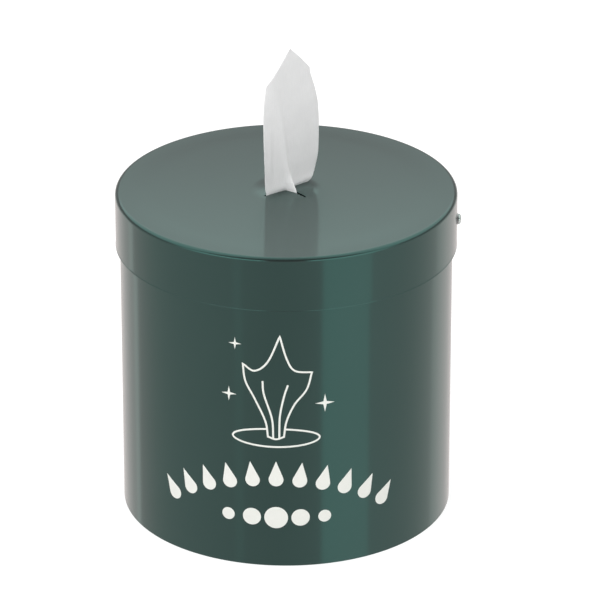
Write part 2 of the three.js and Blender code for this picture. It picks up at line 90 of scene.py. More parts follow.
def ranged(tree, value, low, high, start, end, kind="SMOOTHSTEP"):
    """Start at low, end at high, and a smooth or straight run between them."""
    spread = {"Value": value, "From Min": low, "From Max": high, "To Min": start, "To Max": end}
    return node(tree, "ShaderNodeMapRange", spread, interpolation_type=kind).outputs[0]


def mixed(tree, share, first, second):
    """First at share 0 and second at share 1."""
    return node(tree, "ShaderNodeMix", {0: share, 2: first, 3: second}, data_type="FLOAT").outputs[0]


BACK_WALL = (1.08, 1.0, 0.985)
FRONT_WALL = (1.17, 1.0, 1.01)
SOFTBOX = (1.0, 1.0, 1.0)
TENT_LEVELS = [
    (-180, 0.80, BACK_WALL), (-152, 0.82, BACK_WALL), (-138, 0.78, BACK_WALL), (-133, 0.84, BACK_WALL),
    (-131, 1.12, BACK_WALL), (-127, 1.12, BACK_WALL), (-125, 0.66, BACK_WALL), (-100, 0.71, BACK_WALL),
    (-80, 0.70, FRONT_WALL),
    (-59, 0.68, FRONT_WALL), (-37, 0.64, FRONT_WALL), (-35.5, 0.73, FRONT_WALL), (-31, 0.73, FRONT_WALL),
    (-29.5, 0.62, FRONT_WALL), (-10, 0.59, FRONT_WALL), (14, 0.60, FRONT_WALL), (23.5, 0.63, FRONT_WALL),
    (25.5, 1.08, SOFTBOX), (58.0, 1.04, SOFTBOX), (60.5, 0.73, FRONT_WALL), (91, 0.71, FRONT_WALL),
    (119, 0.76, BACK_WALL), (121, 0.77, BACK_WALL), (123.5, 0.97, BACK_WALL), (135, 0.96, BACK_WALL),
    (150, 0.80, BACK_WALL), (180, 0.80, BACK_WALL),
]
TENT_STRENGTH = 3.0
world = bpy.data.worlds.new("studio")
scene.world = world
world.use_nodes = True
tree = world.node_tree
tree.nodes.clear()
outward = node(tree, "ShaderNodeTexCoord").outputs["Generated"]
facing = {"Vector": outward, "Angle": -CAMERA_SIDE}
to_camera = node(tree, "ShaderNodeVectorRotate", facing, rotation_type="Z_AXIS")
side_on, front_on, height = node(tree, "ShaderNodeSeparateXYZ", {0: to_camera.outputs[0]}).outputs
towards = node(tree, "ShaderNodeMath", {0: front_on, 1: -1.0}, operation="MULTIPLY").outputs[0]
bearing = node(tree, "ShaderNodeMath", {0: side_on, 1: towards}, operation="ARCTAN2").outputs[0]
round_share = ranged(tree, bearing, -np.pi, np.pi, 0, 1, "LINEAR")
low_wall = node(tree, "ShaderNodeValToRGB", {0: round_share})
while len(low_wall.color_ramp.elements) < len(TENT_LEVELS):
    low_wall.color_ramp.elements.new(0.5)
for element, (angle, level, tint) in zip(low_wall.color_ramp.elements, TENT_LEVELS):
    element.position = (angle + 180) / 360
    element.color = [level * share / TENT_STRENGTH for share in tint] + [1]
in_front = ranged(tree, towards, 0.1, 0.65, 0, 1)
back_wall = ranged(tree, height, 0.365, 0.425, 0.30, 1.35)
off_middle = node(tree, "ShaderNodeMath", {0: bearing}, operation="ABSOLUTE").outputs[0]
low_front = ranged(tree, off_middle, 0.19, 0.31, 0.2, 2.1)
front_wall = mixed(tree, ranged(tree, height, 0.32, 0.42, 0, 1), low_front, 0.13)
upper = mixed(tree, in_front, back_wall, front_wall)
upper = mixed(tree, ranged(tree, height, 0.96, 0.995, 0, 1), upper, 0.6)
upper = node(tree, "ShaderNodeMath", {0: upper, 1: TENT_STRENGTH}, operation="DIVIDE").outputs[0]
is_upper = ranged(tree, height, -0.05, 0.0, 0, 1)
walls = {0: is_upper, 6: low_wall.outputs[0], 7: upper}
tent = node(tree, "ShaderNodeMix", walls, data_type="RGBA").outputs[2]
glow = node(tree, "ShaderNodeBackground", {"Color": tent, "Strength": TENT_STRENGTH}).outputs[0]
white = node(tree, "ShaderNodeBackground", {"Color": (1, 1, 1, 1), "Strength": 1.0}).outputs[0]
seen = node(tree, "ShaderNodeLightPath").outputs["Is Camera Ray"]
sky = node(tree, "ShaderNodeMixShader", {0: seen, 1: glow, 2: white})
node(tree, "ShaderNodeOutputWorld", {"Surface": sky.outputs[0]})


def soft_lamp(name, place, size, watts):
    """Square diffused lamp aimed at the can, kept out of the enamel's reflections."""
    lamp = bpy.data.objects.new(name, bpy.data.lights.new(name, "AREA"))
    lamp.data.size = size
    lamp.data.energy = watts
    lamp.location = place
    lamp.rotation_euler = (Vector((0, 0, 0.2)) - lamp.location).to_track_quat("-Z", "Y").to_euler()
    lamp.visible_glossy = False
    scene.collection.objects.link(lamp)


soft_lamp("overhead_softbox", (-0.2, -0.3, 1.9), 1.8, 13)
soft_lamp("front_softbox", (-0.7, -2.1, 1.3), 1.8, 12)

floor_mesh = bpy.data.meshes.new("floor")
floor_mesh.from_pydata([(-9, -9, 0), (9, -9, 0), (9, 9, 0), (-9, 9, 0)], [], [(0, 1, 2, 3)])
floor = bpy.data.objects.new("floor", floor_mesh)
scene.collection.objects.link(floor)
floor.visible_glossy = False
floor_paint = bpy.data.materials.new("white_floor")
floor_paint.use_nodes = True
tree = floor_paint.node_tree
tree.nodes.clear()
matt = node(tree, "ShaderNodeBsdfDiffuse", {"Color": (0.72, 0.72, 0.72, 1)}).outputs[0]
shade = node(tree, "ShaderNodeBsdfDiffuse", {"Color": (0.3, 0.3, 0.3, 1)}).outputs[0]
glow = node(tree, "ShaderNodeEmission", {"Color": (1, 1, 1, 1), "Strength": 0.8}).outputs[0]
shown = node(tree, "ShaderNodeAddShader", {0: shade, 1: glow}).outputs[0]
seen = node(tree, "ShaderNodeLightPath").outputs["Is Camera Ray"]
picked = node(tree, "ShaderNodeMixShader", {0: seen, 1: matt, 2: shown}).outputs[0]
node(tree, "ShaderNodeOutputMaterial", {"Surface": picked})
floor_mesh.materials.append(floor_paint)


# The can wall: steel sheet 0.9 mm thick, rolled round and butt-welded down the back, with its top edge hemmed
# inwards. It is enamelled dark green, with a clear lacquer that leaves a faint orange peel.
CAN_RADIUS = 127.0
CAN_HEIGHT = 255.4
CAN_SHEET = 0.9
HEM_HEIGHT = 8.0
SEAM_DEPTH = 0.16
SEAM_WIDTH = 0.5


def green_enamel():
    """Enamel: a dark green metallic coat, slightly mottled, under a soft lacquer with a fine orange peel."""
    material = bpy.data.materials.new("green_enamel")
    material.use_nodes = True
    tree = material.node_tree
    coat = tree.nodes["Principled BSDF"]
    coat.inputs["Metallic"].default_value = 1.0
    coat.inputs["Coat Weight"].default_value = 1.0
    coat.inputs["Coat Roughness"].default_value = 0.5
    coat.inputs["Coat IOR"].default_value = 1.5
    place = node(tree, "ShaderNodeTexCoord").outputs["Object"]
    cloud = node(tree, "ShaderNodeTexNoise", {"Vector": place, "Scale": 14.0, "Detail": 3.0}).outputs[0]
    tone = node(tree, "ShaderNodeMix", {0: cloud}, data_type="RGBA")
    tone.inputs[6].default_value = (0.0175, 0.075, 0.0635, 1)
    tone.inputs[7].default_value = (0.0215, 0.084, 0.0715, 1)
    tree.links.new(tone.outputs[2], coat.inputs["Base Color"])
    grain = node(tree, "ShaderNodeTexNoise", {"Vector": place, "Scale": 900.0, "Detail": 2.0}).outputs[0]
    tree.links.new(ranged(tree, grain, 0.3, 0.7, 0.10, 0.12, "LINEAR"), coat.inputs["Roughness"])
    peel = node(tree, "ShaderNodeTexNoise", {"Vector": place, "Scale": 420.0, "Detail": 1.0}).outputs[0]
    relief = node(tree, "ShaderNodeBump", {"Strength": 0.05, "Distance": 0.0001, "Height": peel}).outputs[0]
    tree.links.new(relief, coat.inputs["Normal"])
    return material


def fillet(corners, radius, steps=6, lead=0.4):
    """Closed outline with arcs for corners, and a point on each side just before and after every arc."""
    corners = np.asarray(corners, float)
    before = np.roll(corners, 1, 0) - corners
    after = np.roll(corners, -1, 0) - corners
    lengths = [np.linalg.norm(side, axis=1, keepdims=True) for side in (before, after)]
    before, after = before / lengths[0], after / lengths[1]
    half = np.arccos(np.clip((before * after).sum(1), -1, 1)) / 2
    reach = np.minimum(np.broadcast_to(radius, half.shape) / np.tan(half), np.minimum(*lengths)[:, 0] * 0.45)
    bend = reach * np.tan(half)
    middle = corners + (before + after) / np.linalg.norm(before + after, axis=1, keepdims=True) * (
        bend / np.sin(half))[:, None]
    turn = np.sign(before[:, 0] * after[:, 1] - before[:, 1] * after[:, 0])
    start = corners + before * reach[:, None] - middle
    sweep = -turn * (np.pi - 2 * half) * np.linspace(0, 1, steps + 1)[:, None]
    arcs = np.stack([
        start[:, 0] * np.cos(sweep) - start[:, 1] * np.sin(sweep),
        start[:, 0] * np.sin(sweep) + start[:, 1] * np.cos(sweep),
    ], -1) + middle
    extra = np.minimum(reach + lead, np.minimum(*lengths)[:, 0] * 0.49)[:, None]
    outline = np.concatenate([(corners + before * extra)[None], arcs, (corners + after * extra)[None]])
    return outline.transpose(1, 0, 2).reshape(-1, 2)


def surface(name, points, faces, material, body, *nodes, flat=None):
    """A smooth-shaded piece from points in millimetres, with doubles merged and faces turned outwards.

    Flat gives each point's place on the flat cloth, in millimetres, and is kept as a map in metres.
    """
    mesh = bpy.data.meshes.new(name)
    mesh.from_pydata((np.asarray(points, float) / 1000).tolist(), [], np.asarray(faces).tolist())
    if flat is not None:
        corner = np.empty(len(mesh.loops), int)
        mesh.loops.foreach_get("vertex_index", corner)
        cloth_map = mesh.uv_layers.new(name="cloth")
        cloth_map.uv.foreach_set("vector", (flat.reshape(-1, 2)[corner] / 1000).astype(np.float32).ravel())
    shell = bmesh.new()
    shell.from_mesh(mesh)
    bmesh.ops.remove_doubles(shell, verts=shell.verts, dist=1e-6)
    bmesh.ops.dissolve_degenerate(shell, edges=shell.edges, dist=1e-7)
    bmesh.ops.recalc_face_normals(shell, faces=shell.faces)
    shell.to_mesh(mesh)
    shell.free()
    mesh.shade_smooth()
    mesh.materials.append(material)
    piece = bpy.data.objects.new(name, mesh)
    scene.collection.objects.link(piece)
    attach(piece, body)
    if nodes:
        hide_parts(*nodes)
    return piece


def grid_faces(rows, columns, closed_rows=False, closed_columns=False, first=0):
    """Quads between neighbouring points of a grid, wrapped round in either direction where it is closed."""
    row = np.arange(rows if closed_rows else rows - 1)[:, None]
    column = np.arange(columns if closed_columns else columns - 1)[None]
    next_row, next_column = (row + 1) % rows, (column + 1) % columns
    corners = [row * columns + column, row * columns + next_column,
               next_row * columns + next_column, next_row * columns + column]
    return np.stack(corners, -1).reshape(-1, 4) + first


def turned(outline, angles):
    """Points of a closed outline of radius and height, carried round the vertical axis at each angle."""
    radius, rise = np.asarray(outline, float).T
    return np.stack([
        radius * np.cos(angles)[:, None],
        radius * np.sin(angles)[:, None],
        np.broadcast_to(rise, (len(angles), len(rise))),
    ], -1)


ROUND = np.arange(288) * 2 * np.pi / 288
enamel = green_enamel()
inner, hem = CAN_RADIUS - CAN_SHEET, CAN_RADIUS - 2 * CAN_SHEET
wall_outline = fillet(
    [(CAN_RADIUS, 0), (CAN_RADIUS, CAN_HEIGHT), (hem, CAN_HEIGHT), (hem, CAN_HEIGHT - HEM_HEIGHT),
     (inner, CAN_HEIGHT - HEM_HEIGHT), (inner, 0)],
    [0.2, 0.85, 0.85, 0.3, 0.1, 0.2],
)
beside_seam = np.radians([-0.7, -0.5, -0.35, -0.2, -0.1, 0.1, 0.2, 0.35, 0.5, 0.7])
seam_angles = np.sort(np.append(ROUND, np.pi / 2 + beside_seam))
wall = turned(wall_outline, seam_angles)
off_seam = (seam_angles - np.pi / 2)[:, None] * CAN_RADIUS
groove = SEAM_DEPTH * np.exp(-((off_seam / SEAM_WIDTH) ** 2)) * (wall_outline[:, 0] > inner + 0.5)
wall[..., 1] -= groove
faces = grid_faces(len(seam_angles), len(wall_outline), True, True)
can_wall = surface("can_wall_sheet", wall.reshape(-1, 3), faces, enamel, "can", "can_wall")


# The base: a pan pressed from the same sheet, with its rim turned up and spot-welded inside the wall.
# A shallow ring bead stiffens its floor.
BASE_RADIUS = CAN_RADIUS - CAN_SHEET - 0.3
BEAD_RADIUS = 96.0
BEAD_HALF_WIDTH = 7.0
BEAD_RISE = 1.2
BASE_BEND = 2.5
LIP_HEIGHT = 10.0
reach = np.concatenate([np.linspace(0, 84, 8), np.linspace(86, 106, 21), [112, 118, 122]])
bead = BEAD_RISE * np.clip(1 - ((reach - BEAD_RADIUS) / BEAD_HALF_WIDTH) ** 2, 0, 1) ** 2
bend = np.radians(np.linspace(0, 90, 9))
under = np.column_stack([reach, bead])
bend_middle = BASE_RADIUS - BASE_BEND
outer_bend = np.column_stack([bend_middle + BASE_BEND * np.sin(bend), BASE_BEND - BASE_BEND * np.cos(bend)])
lip_inner = BASE_RADIUS - CAN_SHEET
lip = np.array([
    (BASE_RADIUS, 3.4), (BASE_RADIUS, 9.4), (BASE_RADIUS, 9.8), (BASE_RADIUS - 0.2, LIP_HEIGHT),
    (lip_inner + 0.2, LIP_HEIGHT), (lip_inner, 9.8), (lip_inner, 9.4), (lip_inner, 3.4),
])
inner_bend = np.column_stack([bend_middle + 1.6 * np.sin(bend), BASE_BEND - 1.6 * np.cos(bend)])[::-1]
over = (under + (0, CAN_SHEET))[::-1]
base_outline = np.concatenate([under, outer_bend, lip, inner_bend, over])
points = turned(base_outline, ROUND)
faces = grid_faces(len(ROUND), len(base_outline), True, False)
can_base = surface("can_base_pan", points.reshape(-1, 3), faces, enamel, "can", "can_base")


# The mounting bracket: one strip bent into a hat section, with two keyholes for wall screws, enamelled with
# the can. Its edges are broken, and its flanges hug the can's back.
def eased(name, source, width, material, body):
    """A copy of a plain solid with its doubles merged, flat faces joined and sharp edges rounded."""
    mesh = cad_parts[source].data.copy()
    mesh.name = name
    shell = bmesh.new()
    shell.from_mesh(mesh)
    bmesh.ops.remove_doubles(shell, verts=shell.verts, dist=1e-6)
    bmesh.ops.dissolve_limit(shell, angle_limit=np.radians(0.5), verts=shell.verts, edges=shell.edges)
    for edge in shell.edges:
        edge.smooth = bool(len(edge.link_faces) == 2 and edge.calc_face_angle(0) < np.radians(30))
    for face in shell.faces:
        face.smooth = True
    shell.to_mesh(mesh)
    shell.free()
    mesh.materials.clear()
    mesh.materials.append(material)
    piece = bpy.data.objects.new(name, mesh)
    scene.collection.objects.link(piece)
    edge_round = piece.modifiers.new("edge", "BEVEL")
    edge_round.width = width / 1000
    edge_round.segments = 2
    edge_round.limit_method = "ANGLE"
    edge_round.angle_limit = np.radians(40)
    edge_round.harden_normals = True
    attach(piece, body)
    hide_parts(source)
    return piece


bracket = eased("wall_bracket", "mounting_bracket", 0.25, enamel, "can")


# The rivets: four blind rivets of zinc-plated steel through the bracket's flanges, domed outside, with a
# small hollow where the pulled pin has snapped off.
RIVET_HEIGHTS = (67.0, 173.0)
RIVET_SWING = np.arcsin(51.0 / CAN_RADIUS)


def zinc_plate():
    """Zinc plate: bright grey metal with a soft cloudy grain."""
    material = bpy.data.materials.new("zinc_plate")
    material.use_nodes = True
    tree = material.node_tree
    metal = tree.nodes["Principled BSDF"]
    metal.inputs["Metallic"].default_value = 1.0
    place = node(tree, "ShaderNodeTexCoord").outputs["Object"]
    cloud = node(tree, "ShaderNodeTexNoise", {"Vector": place, "Scale": 500.0, "Detail": 4.0}).outputs[0]
    tone = node(tree, "ShaderNodeMix", {0: cloud}, data_type="RGBA")
    tone.inputs[6].default_value = (0.50, 0.51, 0.51, 1)
    tone.inputs[7].default_value = (0.66, 0.67, 0.68, 1)
    tree.links.new(tone.outputs[2], metal.inputs["Base Color"])
    tree.links.new(ranged(tree, cloud, 0.3, 0.7, 0.28, 0.42, "LINEAR"), metal.inputs["Roughness"])
    return material


def pointed_out(points, swing, rise):
    """Lays points made along the vertical axis down, pointing out of the can at an angle and a height."""
    along, sideways, up_down = points[..., 2], points[..., 1], -points[..., 0]
    return np.stack([
        along * np.cos(swing) - sideways * np.sin(swing),
        along * np.sin(swing) + sideways * np.cos(swing),
        up_down + rise,
    ], -1)


zinc = zinc_plate()
SMALL_ROUND = np.arange(40) * 2 * np.pi / 40
rivet_outline = np.array([
    (0, 124.4), (2.4, 124.4), (2.9, 124.7), (3.1, 125.2), (3.1, 125.9), (2.0, 125.9),
    (2.0, 129.0), (3.7, 129.0), (4.0, 129.15), (3.96, 129.4), (3.6, 129.8), (2.9, 130.15),
    (2.0, 130.38), (1.5, 130.4), (1.25, 130.3), (1.15, 129.9), (0.6, 129.7), (0, 129.65),
])
rivet = turned(rivet_outline, SMALL_ROUND)
rivet_places = [(np.pi / 2 + side * RIVET_SWING, rise) for rise in RIVET_HEIGHTS for side in (-1, 1)]
points = np.concatenate([pointed_out(rivet, swing, rise).reshape(-1, 3) for swing, rise in rivet_places])
count = rivet.shape[0] * rivet.shape[1]
faces = np.concatenate([
    grid_faces(len(SMALL_ROUND), len(rivet_outline), True, False, k * count)
    for k in range(len(rivet_places))
])
rivets = surface("blind_rivets", points, faces, zinc, "can", *[f"bracket_rivet_{k}" for k in range(1, 5)])


# The screen print: white ink laid on the can's front in one pass, a fan of drops over a row of discs under a
# picture of a sheet standing up out of an opening. The film is a few hundredths of a millimetre thick.
INK_TOP = CAN_RADIUS + 0.06
INK_FOOT = CAN_RADIUS - 0.03
LINE_WIDTH = 1.45
ARCH_RADIUS = 154.0
ARCH_TOP = 78.0
ARCH_HALF_ANGLE = np.radians(34.5)
DROP_LENGTH = 21.0
DROP_RADIUS = 5.6
ROW_HEIGHT = 41.0
ROW_PITCH = 18.5
ROW_RADII = (5, 7, 9, 7, 5)
PICTURE_HEIGHT = 146.0


def white_ink():
    """Screen ink: off-white, satin, with the faint grain that the mesh leaves."""
    material = bpy.data.materials.new("white_ink")
    material.use_nodes = True
    tree = material.node_tree
    ink = tree.nodes["Principled BSDF"]
    ink.inputs["Specular IOR Level"].default_value = 0.4
    place = node(tree, "ShaderNodeTexCoord").outputs["Object"]
    grain = node(tree, "ShaderNodeTexNoise", {"Vector": place, "Scale": 1400.0, "Detail": 2.0}).outputs[0]
    tone = node(tree, "ShaderNodeMix", {0: grain}, data_type="RGBA")
    tone.inputs[6].default_value = (0.79, 0.80, 0.745, 1)
    tone.inputs[7].default_value = (0.855, 0.865, 0.82, 1)
    tree.links.new(tone.outputs[2], ink.inputs["Base Color"])
    tree.links.new(ranged(tree, grain, 0.3, 0.7, 0.42, 0.55, "LINEAR"), ink.inputs["Roughness"])
    relief = node(tree, "ShaderNodeBump", {"Strength": 0.1, "Distance": 0.00003, "Height": grain}).outputs[0]
    tree.links.new(relief, ink.inputs["Normal"])
    return material


def on_wall(across, rise, radius):
    """A place on the can's front: length round from the middle, height, and distance from the axis."""
    angle = across / CAN_RADIUS
    return np.stack([radius * np.sin(angle), -radius * np.cos(angle), rise + 0 * radius], -1)


def filled(outline):
    """Patch of ink: rings shrunk towards the middle on top, a rim down into the wall, and a foot."""
    outline = np.asarray(outline, float)
    middle = outline.mean(0)
    shares = np.array([0, 0.35, 0.7, 0.97, 1, 1, 0.5, 0])[:, None, None]
    radii = np.array([INK_TOP] * 4 + [INK_TOP - 0.02, INK_FOOT, INK_FOOT, INK_FOOT])[:, None]
    spread = middle + (outline - middle) * shares
    points = on_wall(spread[..., 0], spread[..., 1], radii + 0 * spread[..., 0])
    return points, grid_faces(len(shares), len(outline), False, True)


def stroked(line, closed=False):
    """Line of ink: at each point a flat section as wide as the line, square to the way it runs."""
    line = np.asarray(line, float)
    ahead = np.roll(line, -1, 0) - line
    behind = line - np.roll(line, 1, 0)
    if not closed:
        ahead[-1], behind[0] = behind[-1], ahead[0]
    ahead /= np.linalg.norm(ahead, axis=1, keepdims=True)
    behind /= np.linalg.norm(behind, axis=1, keepdims=True)
    along = (ahead + behind) / np.linalg.norm(ahead + behind, axis=1, keepdims=True)
    widening = 1 / np.clip((along * ahead).sum(1), 0.6, 1)
    across = np.stack([-along[:, 1], along[:, 0]], -1) * (LINE_WIDTH / 2 * widening)[:, None]
    sides = np.array([-1, -0.96, 0.96, 1, 1, -1])[None, :, None]
    radii = np.array([INK_TOP - 0.02, INK_TOP, INK_TOP, INK_TOP - 0.02, INK_FOOT, INK_FOOT])
    spread = line[:, None] + across[:, None] * sides
    points = on_wall(spread[..., 0], spread[..., 1], radii + 0 * spread[..., 0])
    return points, grid_faces(len(line), 6, closed, True)


def printed(name, patches, *nodes):
    """One piece of ink made of several patches and lines."""
    points, faces, count = [], [], 0
    for patch, quads in patches:
        points.append(patch.reshape(-1, 3))
        faces.append(quads + count)
        count += points[-1].shape[0]
    piece = surface(name, np.concatenate(points), np.concatenate(faces), ink, "can", *nodes)


def drop(middle, tilt):
    """Drop: a circle's lower arc closed by the two lines that touch it from a point above, tilted."""
    belly = DROP_RADIUS - DROP_LENGTH / 2
    flank = np.arccos(DROP_RADIUS / (DROP_LENGTH - DROP_RADIUS))
    sweep = np.linspace(np.pi / 2 - flank, flank - 1.5 * np.pi, 40)
    tip = np.array([(0, DROP_LENGTH / 2)])
    belly_line = np.column_stack([DROP_RADIUS * np.cos(sweep), belly + DROP_RADIUS * np.sin(sweep)])
    outline = np.concatenate([tip, (tip + belly_line[:1]) / 2, belly_line, (tip + belly_line[-1:]) / 2])
    turn = np.array([[np.cos(tilt), np.sin(tilt)], [-np.sin(tilt), np.cos(tilt)]])
    return outline @ turn + middle


def smooth_line(knots, steps=14):
    """Catmull-Rom curve through the knots, given from the picture's middle."""
    knots = np.asarray(knots, float) + (0, PICTURE_HEIGHT)
    padded = np.concatenate([2 * knots[:1] - knots[1:2], knots, 2 * knots[-1:] - knots[-2:-1]])
    share = np.linspace(0, 1, steps, endpoint=False)[:, None, None]
    a, b, c, d = padded[:-3], padded[1:-2], padded[2:-1], padded[3:]
    square, cube = 2 * a - 5 * b + 4 * c - d, 3 * b - a - 3 * c + d
    curve = 0.5 * (2 * b + (c - a) * share + square * share**2 + cube * share**3)
    return np.concatenate([curve.transpose(1, 0, 2).reshape(-1, 2), knots[-1:]])


ink = white_ink()
tilts = ARCH_HALF_ANGLE * np.linspace(1, -1, 11)
drops = [
    drop((-ARCH_RADIUS * np.sin(tilt), ARCH_TOP - ARCH_RADIUS * (1 - np.cos(tilt))), tilt) for tilt in tilts]
drop_nodes = [f"print_drop_{k}" for k in range(1, 12)]
printed("print_arch", [filled(outline) for outline in drops], *drop_nodes)

circle = np.column_stack([np.cos(SMALL_ROUND), np.sin(SMALL_ROUND)])
discs = [circle * radius + ((k - 2) * ROW_PITCH, ROW_HEIGHT) for k, radius in enumerate(ROW_RADII)]
disc_nodes = [f"print_disc_{k}" for k in range(1, 6)]
printed("print_row", [filled(outline) for outline in discs], *disc_nodes)

sheet_edges = [
    [(6, -37), (0, -39), (-6, -37)],
    [(-6, -37), (-8, -24), (-16, -6), (-23, 8), (-25, 22)],
    [(-25, 22), (-16, 17), (-6, 25), (3, 46)],
    [(3, 46), (8, 28), (14, 18), (27, 16)],
    [(27, 16), (23, 2), (14, -10), (8, -24), (6, -37)],
]
sheet_line = np.concatenate([smooth_line(edge)[1:] for edge in sheet_edges])
fold_lines = [
    smooth_line([(-2, -38.8), (-3, -22), (-9, -2), (-10, 9)]),
    smooth_line([(2.5, -38.6), (3, -20), (6, -4), (9, 6)]),
]
swing = np.radians(np.linspace(101, 439, 97))
opening_line = np.column_stack([33 * np.cos(swing), 7.5 * np.sin(swing) - 38 + PICTURE_HEIGHT])
spoke = np.arange(8) * np.pi / 4
star = np.where(np.arange(8) % 2, 0.24, 1)[:, None] * np.column_stack([np.cos(spoke), np.sin(spoke)])
sparkle_places = [(37, -10, 7.5), (-36, -4, 6), (-31, 38, 5)]
sparkles = [star * size + (across, rise + PICTURE_HEIGHT) for across, rise, size in sparkle_places]
picture = [stroked(sheet_line, True)] + [stroked(line) for line in fold_lines] + [stroked(opening_line)]
picture += [filled(outline) for outline in sparkles]
printed("print_picture", picture, "print_sheet", *[f"print_sparkle_{k}" for k in range(1, 4)])


# The roll of wipes: a moist non-woven strip wound on an open core and stood in the can. Its ends show the
# turns as fine uneven rings, painted as shade and light in the cloth's colour and raised a little as a bump,
# and its outside is one long loose layer.
ROLL_RADIUS = 98.0
ROLL_CORE = 19.0
ROLL_FOOT = 1.2
ROLL_TOP = 204.2


def wound_cloth():
    """Wound non-woven: off-white, matt, with rings of light and shade by distance from the axis."""
    material = bpy.data.materials.new("wound_cloth")
    material.use_nodes = True
    tree = material.node_tree
    cloth = tree.nodes["Principled BSDF"]
    cloth.inputs["Sheen Weight"].default_value = 0.2
    cloth.inputs["Sheen Roughness"].default_value = 0.5
    place = node(tree, "ShaderNodeTexCoord").outputs["Object"]
    flat = node(tree, "ShaderNodeVectorMath", {0: place, 1: (1, 1, 0)}, operation="MULTIPLY").outputs[0]
    reach = node(tree, "ShaderNodeVectorMath", {0: flat}, operation="LENGTH").outputs["Value"]
    # Painted shade and light: rings by distance from the axis darken and lighten the cloth's colour between
    # the turns, mixed with the fibre's own random tone; the same pattern also drives the bump.
    waver = node(tree, "ShaderNodeTexNoise", {"Vector": place, "Scale": 35.0, "Detail": 3.0}).outputs[0]
    shift = {0: waver, 1: 0.0012, 2: reach}
    shifted = node(tree, "ShaderNodeMath", shift, operation="MULTIPLY_ADD").outputs[0]
    turns = node(tree, "ShaderNodeMath", {0: shifted, 1: 9000.0}, operation="MULTIPLY").outputs[0]
    wave = node(tree, "ShaderNodeMath", {0: turns}, operation="SINE").outputs[0]
    fibre = node(tree, "ShaderNodeTexNoise", {"Vector": place, "Scale": 1100.0, "Detail": 4.0}).outputs[0]
    ring_shade_and_fibre = node(tree, "ShaderNodeMath", {0: wave, 1: 0.25, 2: fibre}, operation="MULTIPLY_ADD").outputs[0]
    share = ranged(tree, ring_shade_and_fibre, 0.1, 0.9, 0, 1, "LINEAR")
    tone = node(tree, "ShaderNodeMix", {0: share}, data_type="RGBA")
    tone.inputs[6].default_value = (0.66, 0.66, 0.65, 1)
    tone.inputs[7].default_value = (0.86, 0.86, 0.85, 1)
    tree.links.new(tone.outputs[2], cloth.inputs["Base Color"])
    tree.links.new(ranged(tree, fibre, 0.3, 0.7, 0.8, 0.95, "LINEAR"), cloth.inputs["Roughness"])
    relief = node(tree, "ShaderNodeBump", {"Strength": 0.5, "Distance": 0.0003, "Height": ring_shade_and_fibre}).outputs[0]
    tree.links.new(relief, cloth.inputs["Normal"])
    return material


roll_cloth = wound_cloth()
turn_reach = np.linspace(ROLL_CORE + 1.2, ROLL_RADIUS - 1.5, 96)
turn_rise = ROLL_TOP - 0.75 + 0.35 * np.sin(turn_reach * 2.1) + 0.3 * np.sin(turn_reach * 0.83 + 1)
top_line = np.column_stack([turn_reach, turn_rise])[::-1]
side_rise = np.linspace(ROLL_FOOT + 1.5, ROLL_TOP - 3, 24)
outside = np.column_stack([ROLL_RADIUS - 0.25 + 0.2 * np.sin(side_rise * 0.21), side_rise])
roll_outline = np.concatenate([
    [(ROLL_CORE, ROLL_FOOT + 1), (ROLL_CORE + 1, ROLL_FOOT), (ROLL_RADIUS - 1.5, ROLL_FOOT)], outside,
    [(ROLL_RADIUS - 0.5, ROLL_TOP - 1.7)], top_line, [(ROLL_CORE, ROLL_TOP - 2), (ROLL_CORE, 100)],
])
ring = np.arange(180) * 2 * np.pi / 180
points = turned(roll_outline, ring)
loose = 1 - 0.0015 * (1 + np.sin(3 * ring + 0.4))
points[..., :2] *= loose[:, None, None]
faces = grid_faces(len(ring), len(roll_outline), True, True)
roll = surface("wound_roll", points.reshape(-1, 3), faces, roll_cloth, "can", "wipe_roll")


# The next wipe: the strip still on the roll, drawn up out of its core as a loosely twisted rope of pleats.
# It ends at the perforation just under the cap, where the wipe in use has been torn almost free.
NEXT_TOP = 239.4
NEXT_FOOT = 142.2
PLEATS = 9
NEXT_THICKNESS = 0.3


def eased_step(low, high, value):
    """0 below low, 1 above high, and a smooth S between them."""
    share = np.clip((value - low) / (high - low), 0, 1)
    return share**2 * (3 - 2 * share)


